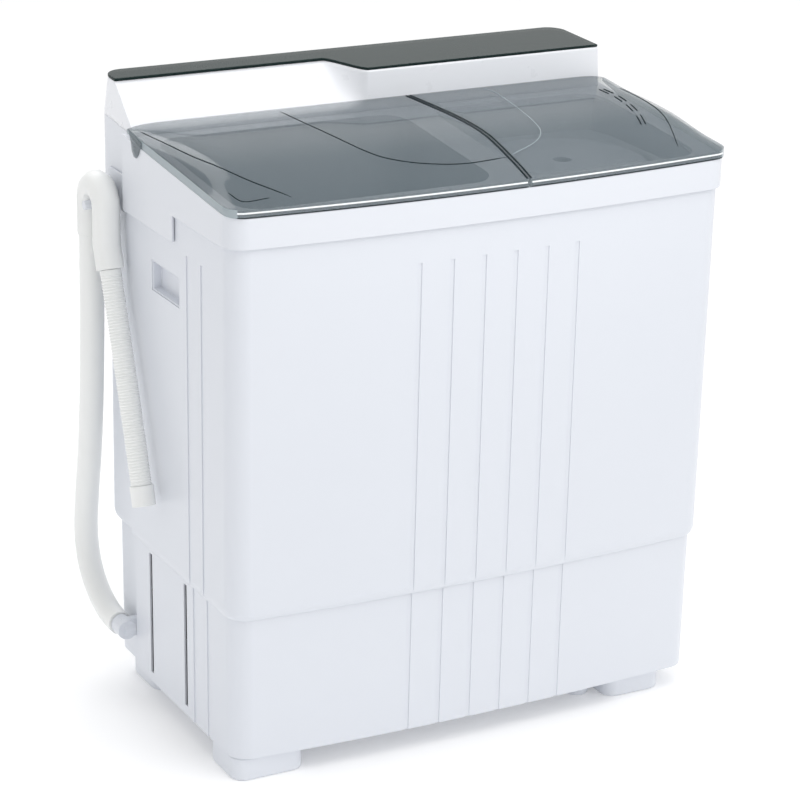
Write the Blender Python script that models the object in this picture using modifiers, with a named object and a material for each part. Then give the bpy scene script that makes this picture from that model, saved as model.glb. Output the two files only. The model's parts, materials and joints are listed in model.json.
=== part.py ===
"""Twin tub washing machine: a wide wash tub with a pulsator, a round spin tub, a rear console and
a drain hose.

Metres, +Z up, front towards -Y, standing on z = 0.
"""
import math

import bmesh
import bpy
from mathutils import Matrix, Vector

# ---- driving dimensions -------------------------------------------------------------------
HALF = 0.310          # half the cabinet's width at the seam under the top frame
BACK = 0.1927         # rearmost face
CORNER_Y = -0.1781    # front panel's line at its corners
BOW = 0.0110          # how far the front panel bulges at its middle
BOW_HALF = 0.290      # half the width that the bulge spans
CORNER_R = 0.025      # vertical front corners
REAR_R = 0.018        # vertical rear corners
JOG_Y = 0.1082        # the side panels end here, and the rear section starts
JOG = 0.008           # the rear section is this much narrower on each side
WALL = 0.0025         # moulded wall thickness
GAP = 0.0003          # clearance between touching pieces
OVERHANG = 0.0036     # the top frame stands this far outside the cabinet
INSET = 0.0045        # the base stands this far inside the cabinet

FOOT_Z = 0.028        # underside of the base
STEP_Z = 0.1995       # lower edge of the cabinet panels
SEAM_Z = 0.6300       # lower edge of the top frame at the front
SEAM_REAR_Z = 0.6000  # lower edge of the top frame's deeper rear skirt
SKIRT_Y = -0.030      # where the skirt changes height
LEDGE_Z = 0.6632      # top of the frame at the front edge
SLOPE = 0.0863        # rise of the frame's top towards the back
CONSOLE_Y = 0.0944    # foot of the console's front face
CONSOLE_Z = 0.7424    # top of the console at the back
CONSOLE_DROP = 0.0290 # slope of the console's top, metres a metre
SPLIT_X = 0.042       # line between the two lids

WASH = (-0.290, -0.160, 0.022, 0.078)     # wash opening: x low, y low, x high, y high
SPIN = (0.062, -0.160, 0.290, 0.078)      # spin opening
WASH_FLOOR_Z = 0.262
SPIN_FLOOR_Z = 0.226
SPIN_AT = (0.176, -0.040)
PULSATOR_AT = (-0.134, -0.041)
MOTOR_AT = (-0.228, 0.078)
PULLEY_R = 0.072
MOTOR_PULLEY_R = 0.014
BELT_Z = 0.074

PAN_Z = 0.6400        # floor of the recess round the spin tub's mouth
WELL_R = 0.1040       # round part of the spin tub
BASKET_R = 0.0950
BRAKE_PIVOT = (0.236, 0.024)
BRAKE_Z = 0.182
VALVE_AT = (-0.040, 0.030)

GROOVES_X = [-0.0900 + 0.0400 * i for i in range(6)]
SIDE_GROOVES_Y = (-0.062, -0.100)
SIDE_SLOTS_Y = (0.062, -0.037)
GROOVE_TOP_Z = 0.592
DRAFT = 0.0020        # the cabinet is this much smaller, each way, at its lower edge
TUCK = [              # height above the lower edge, and how far the panels turn in there
    (0.0000, 0.0030), (0.0025, 0.0015), (0.0060, 0.0005), (0.0110, 0.0000),
]
BASE_DRAFT = 0.0012   # and the base again at its underside
GRIP = (-0.040, 0.526, 0.036, 0.562)      # y low, z low, y high, z high
FEET = {
    "foot_front_left": (-0.300, -0.168, -0.212, -0.092),
    "foot_front_right": (0.194, -0.163, 0.272, -0.085),
    "foot_rear_left": (-0.288, 0.086, -0.208, 0.162),
    "foot_rear_right": (0.208, 0.086, 0.288, 0.162),
}
SUPPORT_AT = (0.172, -0.127)
SCREWS = [(-0.250, 0.225), (0.250, 0.225), (-0.250, 0.570), (0.250, 0.570)]

OUTLET_Y = 0.1215
OUTLET_Z = 0.0765
HOSE_START_X = -0.3130
HOSE_X = -0.3300      # plane of the hose's upper stretch
HOSE_R = 0.0145
UPPER_R = 0.0125
ELBOW_R = 0.0165
LEG_BACK_Y = 0.1640   # the elbow's rear and front legs
LEG_FRONT_Y = 0.1180
ELBOW_Z = 0.5600
ELBOW_TOP_Z = 0.6010
LEAN = math.radians(20)
PEG_R = 0.0055
LOWER_ROUTE = [
    (HOSE_START_X, OUTLET_Y + 0.0138, OUTLET_Z), (HOSE_START_X, 0.1510, OUTLET_Z), (-0.3145, 0.1680, 0.0812),
    (-0.3165, 0.1900, 0.0942), (-0.3180, 0.2100, 0.1155), (-0.3185, 0.2220, 0.1410),
    (-0.3188, 0.2252, 0.1720),
    (-0.3192, 0.2195, 0.2120), (-0.3210, 0.2040, 0.2720), (-0.3240, 0.1880, 0.3390),
    (-0.3270, 0.1755, 0.4060),
    (-0.3290, 0.1675, 0.4780), (-0.3299, 0.1643, 0.5300), (HOSE_X, LEG_BACK_Y, ELBOW_Z - GAP),
]
UPPER_ROUTE = [
    (HOSE_X, 0.1075, 0.5312), (HOSE_X, 0.1026, 0.5177), (HOSE_X, 0.0941, 0.4942), (HOSE_X, 0.0838, 0.4660),
    (HOSE_X, 0.0701, 0.4284), (HOSE_X, 0.0567, 0.3908), (HOSE_X, 0.0434, 0.3531), (HOSE_X, 0.0336, 0.3248),
    (HOSE_X, 0.0243, 0.2977),
]

SWEEP_X = (-0.042, -0.009)                # the console steps forward between these
LEFT_TOP_Y = 0.1530
COVER_T = 0.0030
COVER_HINGE = (0, 0.1917, 0.7389)
DECK_Z = 0.7200
KNOBS = {
    "wash_timer_knob": (0.040, 0.136),
    "drain_selector_knob": (0.112, 0.136),
    "spin_timer_knob": (0.246, 0.136),
}

LID_T = 0.0026
LIP_Z = 0.0100        # height of the lids' front lip, and of their side skirts
SHOULDER = 0.060      # the crown fades out towards the side skirt over this width
CROWN = [             # share of the depth from the back, and height above the frame at mid-width
    (0.00, 0.0144), (0.12, 0.0182), (0.24, 0.0218), (0.36, 0.0252), (0.48, 0.0276), (0.58, 0.0286),
    (0.67, 0.0278), (0.76, 0.0244), (0.85, 0.0198), (0.92, 0.0157), (0.97, 0.0122), (1.00, 0.0100),
]
CLOSED_LID_GAP = 0.0010
HINGE_Y = 0.0855
HINGE_Z = 0.6992

parts = None
cutters = None


# ---- scene and helpers --------------------------------------------------------------------
def start():
    global parts, cutters
    for ob in list(bpy.data.objects):
        bpy.data.objects.remove(ob)
    parts = bpy.data.collections.new("twin_tub_washer")
    cutters = bpy.data.collections.new("cutters")
    for group in (parts, cutters):
        bpy.context.scene.collection.children.link(group)


def material(name, colour, roughness, metallic=0.0, alpha=1.0):
    mat = bpy.data.materials.get(name) or bpy.data.materials.new(name)
    mat.use_nodes = True
    shader = mat.node_tree.nodes["Principled BSDF"]
    shader.inputs["Base Color"].default_value = (*colour, 1.0)
    shader.inputs["Roughness"].default_value = roughness
    shader.inputs["Metallic"].default_value = metallic
    shader.inputs["Alpha"].default_value = alpha
    return mat


FINISHES = {
    "white": ((0.86, 0.87, 0.89), 0.28, 0.0, 1.0),
    "inner": ((0.80, 0.82, 0.84), 0.35, 0.0, 1.0),
    "smoke": ((0.15, 0.19, 0.20), 0.08, 0.0, 0.45),
    "grey": ((0.45, 0.47, 0.49), 0.45, 0.0, 1.0),
    "black": ((0.03, 0.03, 0.03), 0.6, 0.0, 1.0),
    "steel": ((0.62, 0.62, 0.63), 0.32, 1.0, 1.0),
    "iron": ((0.30, 0.31, 0.33), 0.5, 1.0, 1.0),
    "hose": ((0.80, 0.81, 0.79), 0.45, 0.0, 1.0),
}


def put(ob, finish):
    """Give an object its own material and its place among the parts."""
    ob.data.materials.clear()
    ob.data.materials.append(material(ob.name + "_material", *FINISHES[finish]))
    for group in list(ob.users_collection):
        group.objects.unlink(ob)
    parts.objects.link(ob)
    return ob


def hang(ob, point):
    """Move an object's origin onto its joint's axis."""
    ob.data.transform(Matrix.Translation(-Vector(point)))
    ob.location = point
    return ob


def as_cutter(ob):
    for group in list(ob.users_collection):
        group.objects.unlink(ob)
    cutters.objects.link(ob)
    ob.hide_render = True
    ob.display_type = "WIRE"
    return ob


def from_bmesh(name, bm, turn_out=True):
    if turn_out:
        bmesh.ops.recalc_face_normals(bm, faces=bm.faces)
    mesh = bpy.data.meshes.new(name)
    bm.to_mesh(mesh)
    bm.free()
    mesh.shade_smooth()
    mesh.set_sharp_from_angle(angle=math.radians(35))
    return bpy.data.objects.new(name, mesh)


def solid_of_curve(name, curve, weld=0.00005):
    """A closed mesh of a filled or bevelled curve."""
    holder = bpy.data.objects.new(name + "_curve", curve)
    bpy.context.scene.collection.objects.link(holder)
    evaluated = holder.evaluated_get(bpy.context.evaluated_depsgraph_get())
    mesh = bpy.data.meshes.new_from_object(evaluated)
    place = holder.matrix_world.copy()
    bpy.data.objects.remove(holder)
    bm = bmesh.new()
    bm.from_mesh(mesh)
    bmesh.ops.remove_doubles(bm, verts=bm.verts, dist=weld)
    bpy.data.meshes.remove(mesh)
    ob = from_bmesh(name, bm)
    ob.matrix_world = place
    return ob


def prism(name, outline, low, high):
    """A flat outline in plan, filled and extruded from z = low to z = high."""
    curve = bpy.data.curves.new(name, "CURVE")
    curve.dimensions = "2D"
    curve.fill_mode = "BOTH"
    curve.extrude = (high - low) / 2
    spline = curve.splines.new("POLY")
    spline.points.add(len(outline) - 1)
    for point, (x, y) in zip(spline.points, outline):
        point.co = (x, y, 0, 1)
    spline.use_cyclic_u = True
    ob = solid_of_curve(name, curve)
    ob.data.transform(Matrix.Translation((0, 0, (low + high) / 2)))
    return ob


def box(name, low, high, bevel=0.0):
    bm = bmesh.new()
    bmesh.ops.create_cube(bm, size=1.0)
    for v in bm.verts:
        v.co = Vector(low[i] + (v.co[i] + 0.5) * (high[i] - low[i]) for i in range(3))
    if bevel:
        bmesh.ops.bevel(bm, geom=bm.edges[:], offset=bevel, segments=2, profile=0.5, affect="EDGES")
    return from_bmesh(name, bm)


def rod(name, start_at, end_at, radius, sides=16):
    """A cylinder between two points."""
    a, b = Vector(start_at), Vector(end_at)
    bm = bmesh.new()
    bmesh.ops.create_cone(bm, cap_ends=True, segments=sides, radius1=radius, radius2=radius,
                          depth=(b - a).length)
    turn = (b - a).to_track_quat("Z", "Y").to_matrix().to_4x4()
    bmesh.ops.transform(bm, matrix=Matrix.Translation((a + b) / 2) @ turn, verts=bm.verts)
    return from_bmesh(name, bm)


def turned(name, profile, at, steps=24):
    """A profile of (radius, height), run down its outer side, turned about a vertical axis."""
    bm = bmesh.new()
    verts = [bm.verts.new((r, 0, z)) for r, z in profile]
    closed = profile[0][0] > 0
    for a, b in zip(verts, verts[1:] + (verts[:1] if closed else [])):
        if a is not b:
            bm.edges.new((a, b))
    mesh = bpy.data.meshes.new(name)
    bm.to_mesh(mesh)
    bm.free()
    ob = bpy.data.objects.new(name, mesh)
    ob.location = (at[0], at[1], 0)
    screw = ob.modifiers.new("turn", "SCREW")
    screw.steps = steps
    screw.render_steps = steps
    screw.use_merge_vertices = True
    screw.merge_threshold = 0.00005
    return ob


def loft(name, rings, ring_closed=True, cap_first=False, cap_last=False):
    """A skin through rings of points, from the bottom up, each ring running anticlockwise."""
    bm = bmesh.new()
    rows = [[bm.verts.new(p) for p in ring] for ring in rings]
    count = len(rows[0])
    spans = count if ring_closed else count - 1
    for a, b in zip(rows, rows[1:]):
        for i in range(spans):
            j = (i + 1) % count
            bm.faces.new((a[i], a[j], b[j], b[i]))
    if cap_first:
        bm.faces.new(reversed(rows[0]))
    if cap_last:
        bm.faces.new(rows[-1])
    return from_bmesh(name, bm, turn_out=False)


def thicken(ob, thickness, inward=True):
    """Turn a skin into a wall. A skin whose faces point out grows inward."""
    solid = ob.modifiers.new("wall", "SOLIDIFY")
    solid.thickness = thickness
    solid.offset = -1.0 if inward else 1.0
    solid.use_even_offset = True
    return ob


def combine(ob, tool, operation):
    as_cutter(tool)
    boolean = ob.modifiers.new(tool.name, "BOOLEAN")
    boolean.operation = operation
    boolean.object = tool
    boolean.solver = "EXACT"
    return ob


def cut(ob, *tools):
    for tool in tools:
        combine(ob, tool, "DIFFERENCE")
    return ob


def join(ob, *tools):
    for tool in tools:
        combine(ob, tool, "UNION")
    return ob


def arc(cx, cy, radius, start_deg, end_deg, steps):
    return [(cx + radius * math.cos(math.radians(start_deg + (end_deg - start_deg) * i / steps)),
             cy + radius * math.sin(math.radians(start_deg + (end_deg - start_deg) * i / steps)))
            for i in range(steps + 1)]


def rounded(x0, y0, x1, y1, radius, steps=4):
    """A rounded rectangle, anticlockwise from its right-hand lower corner."""
    return (arc(x1 - radius, y0 + radius, radius, -90, 0, steps)
            + arc(x1 - radius, y1 - radius, radius, 0, 90, steps)
            + arc(x0 + radius, y1 - radius, radius, 90, 180, steps)
            + arc(x0 + radius, y0 + radius, radius, 180, 270, steps))


# ---- the cabinet's plan outline -----------------------------------------------------------
def front_y(x):
    return CORNER_Y - BOW * (1 - (x / BOW_HALF) ** 2)


def front_run(grow, steps=12):
    """The left side, bowed front and right side, from the left rear edge to the right one."""
    half = HALF + grow
    inner = half - CORNER_R
    left = arc(-inner, front_y(inner) - grow + CORNER_R, CORNER_R, 180, 266, 5)
    right = [(-x, y) for x, y in reversed(left)]
    xs = [-inner + 2 * inner * i / steps for i in range(1, steps)]
    bow = [(x, front_y(x) - grow) for x in xs]
    return [(-half, JOG_Y)] + left + bow + right + [(half, JOG_Y)]


def rear_run(grow, start_y=JOG_Y):
    """The narrower rear section, from its right-hand front edge round to its left-hand one."""
    half = HALF - JOG + grow
    back = BACK - OVERHANG + min(grow, OVERHANG)
    right = arc(half - REAR_R, back - REAR_R, REAR_R, 0, 90, 4)
    left = arc(-half + REAR_R, back - REAR_R, REAR_R, 90, 180, 4)
    return [(half, start_y)] + right + left + [(-half, start_y)]


def body_ring(grow):
    return front_run(grow) + rear_run(grow)


def at_z(outline, z):
    return [(x, y, z) for x, y in outline]


def ledge(y):
    """Height of the top frame's upper face."""
    return LEDGE_Z + SLOPE * (y + BACK)


# ---- cabinet, base and feet ---------------------------------------------------------------
def cabinet_grow(z):
    """How far the cabinet's panels stand out at a height."""
    return -DRAFT * (SEAM_Z + 0.008 - z) / (SEAM_Z + 0.008 - STEP_Z)


def base_grow(z):
    """How far the base's walls stand out at a height."""
    return -INSET - DRAFT - BASE_DRAFT * (STEP_Z - z) / (STEP_Z - FOOT_Z)


def groove_tools(name, low, high, grow_at, depth=0.0011, width=0.0060):
    """Bars that cut the shallow vertical grooves of the front and of both sides, leaning with the walls."""
    tools = []
    for i, x in enumerate(GROOVES_X):
        y = front_y(x)
        bar = box(f"{name}_front_{i}", (x - width / 2, y - 0.01, low), (x + width / 2, y + depth, high))
        for v in bar.data.vertices:
            v.co.y -= grow_at(v.co.z)
        tools.append(bar)
    for side in (-1, 1):
        x = side * HALF
        for i, y in enumerate(SIDE_GROOVES_Y):
            edges = sorted((x - side * depth, x + side * 0.01))
            bar = box(f"{name}_side_{side}_{i}", (edges[0], y - width / 2, low),
                      (edges[1], y + width / 2, high))
            for v in bar.data.vertices:
                v.co.x += side * grow_at(v.co.z)
            tools.append(bar)
    return tools


def make_cabinet():
    rings = [at_z(front_run(cabinet_grow(STEP_Z + rise) - turn_in), STEP_Z + rise) for rise, turn_in in TUCK]
    rings.append(at_z(front_run(0), SEAM_Z + 0.008))
    shell = thicken(loft("cabinet_shell", rings, ring_closed=False), WALL)
    y0, z0, y1, z1 = GRIP
    for side in (-1, 1):
        edges = sorted((side * (HALF - 0.006), side * (HALF + 0.006)))
        cut(shell, box(f"grip_window_{side}", (edges[0], y0, z0), (edges[1], y1, z1)))
    cut(shell, *groove_tools("cabinet_groove", STEP_Z - 0.01, GROOVE_TOP_Z, cabinet_grow))
    put(shell, "white")


def make_grips():
    """A hand-grip cup behind each side window, open outwards, with a lip to pull on."""
    y0, z0, y1, z1 = GRIP
    clear = GAP
    for side, name in ((-1, "grip_left"), (1, "grip_right")):
        outer = sorted((side * (HALF - 0.0132), side * (HALF - 0.0012)))
        inner = sorted((side * (HALF - 0.0114), side * (HALF + 0.005)))
        cup = box(name, (outer[0], y0 + clear, z0 + clear), (outer[1], y1 - clear, z1 - clear))
        cut(cup, box(name + "_hollow", (inner[0], y0 + 0.0021, z0 + 0.0021),
                     (inner[1], y1 - 0.0021, z1 - 0.0021)))
        put(cup, "white")


def make_base():
    rings = [at_z(body_ring(base_grow(z)), z) for z in (FOOT_Z, STEP_Z - GAP)]
    tray = thicken(loft("base_plinth", rings, cap_first=True), WALL)
    cut(tray, *groove_tools("base_groove", FOOT_Z - 0.01, STEP_Z + 0.02, base_grow))
    for side in (-1, 1):
        edges = sorted((side * (HALF - 0.016), side * (HALF + 0.006)))
        for i, y in enumerate(SIDE_SLOTS_Y):
            cut(tray, box(f"vent_{side}_{i}", (edges[0], y - 0.004, FOOT_Z + 0.012),
                          (edges[1], y + 0.004, STEP_Z - 0.006)))
    cut(tray, rod("outlet_hole", (-0.320, OUTLET_Y, OUTLET_Z), (-0.270, OUTLET_Y, OUTLET_Z), 0.0132))
    put(tray, "white")


def make_feet():
    for name, (x0, y0, x1, y1) in FEET.items():
        foot = prism(name, rounded(x0, y0, x1, y1, 0.016, 4), 0, FOOT_Z - GAP)
        put(foot, "white")
    put(turned("support_foot", [(0, FOOT_Z - GAP), (0.013, FOOT_Z - GAP), (0.0155, 0.004),
                                (0.0145, 0), (0, 0)],
               SUPPORT_AT, 16), "white")


def make_back_cover():
    rings = [at_z(rear_run(-turn_in, JOG_Y - 0.008), STEP_Z + rise) for rise, turn_in in TUCK]
    rings.append(at_z(rear_run(0, JOG_Y - 0.008), SEAM_Z + 0.008))
    cover = thicken(loft("back_cover", rings, ring_closed=False), WALL)
    holes = []
    for i, (x, z) in enumerate(SCREWS):
        holes.append(rod(f"screw_hole_{i}", (x, BACK - 0.015, z), (x, BACK + 0.01, z), 0.0026, 8))
    cut(cover, *holes)
    put(cover, "white")
    outer = BACK - OVERHANG
    for i, (x, z) in enumerate(SCREWS):
        head = rod(f"back_cover_screw_{i + 1}", (x, outer + GAP, z), (x, outer + 0.0022, z), 0.0045, 10)
        join(head, rod(f"screw_shank_{i}", (x, outer - 0.008, z), (x, outer + 0.001, z), 0.0020, 8))
        put(head, "steel")


# ---- top frame ----------------------------------------------------------------------------
def sloped(outline, drop):
    """The outline's points on the frame's sloping upper face, lowered by drop."""
    return [(x, y, ledge(y) - drop) for x, y in outline]


def make_top_frame():
    ring = body_ring(OVERHANG)
    frame = loft("top_frame", [at_z(ring, SEAM_REAR_Z), sloped(ring, 0)], cap_first=True, cap_last=True)
    inner = body_ring(OVERHANG - WALL)
    cut(frame, loft("frame_hollow", [at_z(inner, SEAM_REAR_Z - 0.01), sloped(inner, 0.003)],
                    cap_first=True, cap_last=True))
    cut(frame, box("frame_front_trim", (-0.4, -0.3, 0.55), (0.4, SKIRT_Y, SEAM_Z)))
    for name, (x0, y0, x1, y1) in (("wash_opening", WASH), ("spin_opening", SPIN)):
        cut(frame, prism(name, rounded(x0, y0, x1, y1, 0.030, 5), 0.62, 0.72))
    put(frame, "white")


# ---- wash side ----------------------------------------------------------------------------
def make_wash_tub():
    x0, y0, x1, y1 = WASH

    def ring(grow, radius):
        return rounded(x0 - grow, y0 - grow, x1 + grow, y1 + grow, radius, 5)
    rings = [
        sloped(ring(0.010, 0.040), 0.0033),
        sloped(ring(0.0, 0.030), 0.0033),
        at_z(ring(-0.002, 0.030), 0.600),
        at_z(ring(-0.008, 0.036), WASH_FLOOR_Z + 0.040),
        at_z(ring(-0.018, 0.036), WASH_FLOOR_Z + 0.012),
        at_z(ring(-0.036, 0.034), WASH_FLOOR_Z),
    ]
    tub = thicken(loft("wash_tub", rings[::-1], cap_first=True), WALL, inward=False)
    cx, cy = PULSATOR_AT
    cut(tub, rod("wash_shaft_hole", (cx, cy, WASH_FLOOR_Z - 0.02), (cx, cy, WASH_FLOOR_Z + 0.02), 0.0125))
    vx, vy = VALVE_AT
    cut(tub, rod("wash_drain_hole", (vx, vy, WASH_FLOOR_Z - 0.02), (vx, vy, WASH_FLOOR_Z + 0.02), 0.011))
    put(tub, "inner")


def make_pulsator():
    cx, cy = PULSATOR_AT
    top = WASH_FLOOR_Z
    disc = turned("pulsator", [(0, top + 0.026), (0.016, top + 0.024), (0.026, top + 0.013),
                               (0.060, top + 0.010),
                               (0.074, top + 0.014), (0.078, top + 0.010), (0.074, top + 0.0035),
                               (0, top + 0.0035)],
                  PULSATOR_AT, 24)
    for i in range(3):
        fin = box(f"pulsator_fin_{i}", (-0.064, -0.004, 0.006), (0.064, 0.004, 0.021), 0.0015)
        fin.location = (cx, cy, top)
        fin.rotation_euler = (0, 0, math.radians(60 * i))
        join(disc, fin)
    put(disc, "grey")


def make_wash_drive():
    cx, cy = PULSATOR_AT
    floor = WASH_FLOOR_Z - WALL
    seat = floor - 0.0003
    put(turned("pulsator_bearing", [(0.0085, seat), (0.045, seat), (0.045, seat - 0.004),
                                    (0.020, seat - 0.010),
                                    (0.020, 0.130), (0.0085, 0.130)], PULSATOR_AT, 20), "grey")
    put(turned("pulsator_seal", [(0.0083, floor + 0.0052), (0.0105, floor + 0.0052),
                                 (0.0121, floor + 0.0010),
                                 (0.0121, floor + 0.0002), (0.0083, floor + 0.0002)], PULSATOR_AT, 16),
                                 "black")
    shaft = rod("pulsator_shaft", (cx, cy, BELT_Z - 0.012), (cx, cy, WASH_FLOOR_Z + 0.0032), 0.0080, 20)
    put(hang(shaft, (cx, cy, 0)), "steel")
    groove = PULLEY_R - 0.005
    put(turned("large_pulley", [(0.0083, BELT_Z + 0.008), (0.020, BELT_Z + 0.008), (0.024, BELT_Z + 0.004),
                                (0.062, BELT_Z + 0.004), (0.064, BELT_Z + 0.007), (PULLEY_R, BELT_Z + 0.007),
                                (groove, BELT_Z + 0.002), (groove, BELT_Z - 0.002),
                                (PULLEY_R, BELT_Z - 0.007),
                                (0.064, BELT_Z - 0.007), (0.062, BELT_Z - 0.001), (0.0083, BELT_Z - 0.001)],
               PULSATOR_AT, 24), "iron")
    mx, my = MOTOR_AT
    put(turned("wash_motor", [(0, 0.186), (0.016, 0.186), (0.018, 0.180), (0.046, 0.176), (0.052, 0.170),
                              (0.052, 0.116), (0.046, 0.110), (0.018, 0.106), (0.018, 0.0990), (0, 0.0990)],
               MOTOR_AT, 20), "iron")
    small = MOTOR_PULLEY_R - 0.005
    put(turned("motor_pulley", [(0, BELT_Z + 0.0247), (0.007, BELT_Z + 0.0247), (0.007, BELT_Z + 0.008),
                                (MOTOR_PULLEY_R, BELT_Z + 0.007), (small, BELT_Z + 0.002),
                                (small, BELT_Z - 0.002), (MOTOR_PULLEY_R, BELT_Z - 0.007),
                                (0, BELT_Z - 0.007)],
               MOTOR_AT, 18), "steel")
    make_belt(mx, my, small + 0.0031, cx, cy, groove + 0.0031)
    plate = box("wash_motor_bracket", (mx - 0.060, my - 0.052, 0.0930),
                (mx + 0.060, my + 0.088, 0.0990 - GAP))
    cut(plate, rod("motor_boss_hole", (mx, my, 0.08), (mx, my, 0.12), 0.0150, 18))
    for i, dx in enumerate((-0.052, 0.052)):
        join(plate, box(f"bracket_leg_{i}", (mx + dx - 0.005, my + 0.070, FOOT_Z + WALL + GAP),
                        (mx + dx + 0.005, my + 0.086, 0.0980)))
    put(plate, "iron")


def make_belt(ax, ay, ar, bx, by, br):
    """An open loop of rubber belt round both pulleys."""
    line = Vector((bx - ax, by - ay))
    base = math.atan2(line.y, line.x)
    lean = math.acos((ar - br) / line.length)
    points = []
    for cx, cy, radius, first, last in ((ax, ay, ar, base + lean, base + 2 * math.pi - lean),
                                        (bx, by, br, base - lean, base + lean)):
        steps = 8 if radius < 0.02 else 22
        for i in range(steps + 1):
            a = first + (last - first) * i / steps
            points.append((cx + radius * math.cos(a), cy + radius * math.sin(a)))
    strap = 0.0018
    outer = prism("drive_belt", offset_loop(points, strap), BELT_Z - 0.0018, BELT_Z + 0.0018)
    cut(outer, prism("belt_inside", offset_loop(points, -strap), BELT_Z - 0.004, BELT_Z + 0.004))
    put(outer, "black")


def offset_loop(points, distance):
    """Move each point of a loop outwards along the mean normal of its two edges."""
    moved = []
    count = len(points)
    for i, (x, y) in enumerate(points):
        px, py = points[i - 1]
        nx, ny = points[(i + 1) % count]
        tangent = Vector((nx - px, ny - py)).normalized()
        moved.append((x + tangent.y * distance, y - tangent.x * distance))
    return moved


def make_filter():
    """The overflow case on the wash tub's left wall, and the lint filter that slides up out of it."""
    x = WASH[0] + 0.0095
    case = box("filter_case", (x, -0.050, 0.380), (x + 0.020, 0.030, 0.590), 0.002)
    cut(case, box("case_slot", (x + 0.0035, -0.046, 0.3850), (x + 0.0165, 0.026, 0.600)))
    for i in range(5):
        z = 0.400 + 0.030 * i
        cut(case, box(f"case_grille_{i}", (x + 0.012, -0.036, z), (x + 0.03, 0.016, z + 0.008)))
    put(case, "inner")
    frame = box("lint_filter", (x + 0.0039, -0.0455, 0.3860), (x + 0.0160, 0.0255, 0.6000), 0.001)
    cut(frame, box("filter_window", (x + 0.0069, -0.0395, 0.400), (x + 0.03, 0.0195, 0.575)))
    put(hang(frame, (x + 0.010, -0.010, 0.386)), "grey")


# ---- spin side ----------------------------------------------------------------------------
def facing(outline_box, radius, count):
    """Points of a rounded rectangle, at even angles about the spin axis."""
    x0, y0, x1, y1 = outline_box
    cx, cy = SPIN_AT
    ring = rounded(x0, y0, x1, y1, radius, 8)
    out = []
    for i in range(count):
        angle = 2 * math.pi * i / count
        direction = Vector((math.cos(angle), math.sin(angle)))
        best = None
        for (ax, ay), (bx, by) in zip(ring, ring[1:] + ring[:1]):
            a = Vector((ax - cx, ay - cy))
            edge = Vector((bx - ax, by - ay))
            cross = direction.x * edge.y - direction.y * edge.x
            if abs(cross) < 1e-12:
                continue
            along = (a.x * edge.y - a.y * edge.x) / cross
            share = (a.x * direction.y - a.y * direction.x) / cross
            if along > 0 and -1e-6 <= share <= 1 + 1e-6:
                best = along
        out.append((cx + direction.x * best, cy + direction.y * best))
    return out


def circle(radius, count):
    return [(SPIN_AT[0] + radius * math.cos(2 * math.pi * i / count),
             SPIN_AT[1] + radius * math.sin(2 * math.pi * i / count)) for i in range(count)]


def make_spin_tub():
    count = 32
    x0, y0, x1, y1 = SPIN
    wide = (x0 - 0.010, y0 - 0.010, x1 + 0.010, y1 + 0.010)
    low = (x0 + 0.002, y0 + 0.002, x1 - 0.002, y1 - 0.002)
    rings = [
        sloped(facing(wide, 0.040, count), 0.0033),
        sloped(facing(SPIN, 0.030, count), 0.0033),
        at_z(facing(low, 0.030, count), PAN_Z + 0.002),
        at_z(circle(WELL_R + 0.003, count), PAN_Z - 0.004),
        at_z(circle(WELL_R, count), PAN_Z - 0.012),
        at_z(circle(WELL_R - 0.002, count), SPIN_FLOOR_Z + 0.012),
        at_z(circle(WELL_R - 0.012, count), SPIN_FLOOR_Z),
    ]
    tub = thicken(loft("spin_tub", rings[::-1], cap_first=True), WALL, inward=False)
    cx, cy = SPIN_AT
    cut(tub, rod("spin_shaft_hole", (cx, cy, SPIN_FLOOR_Z - 0.02), (cx, cy, SPIN_FLOOR_Z + 0.02), 0.0165))
    put(tub, "inner")


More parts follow.
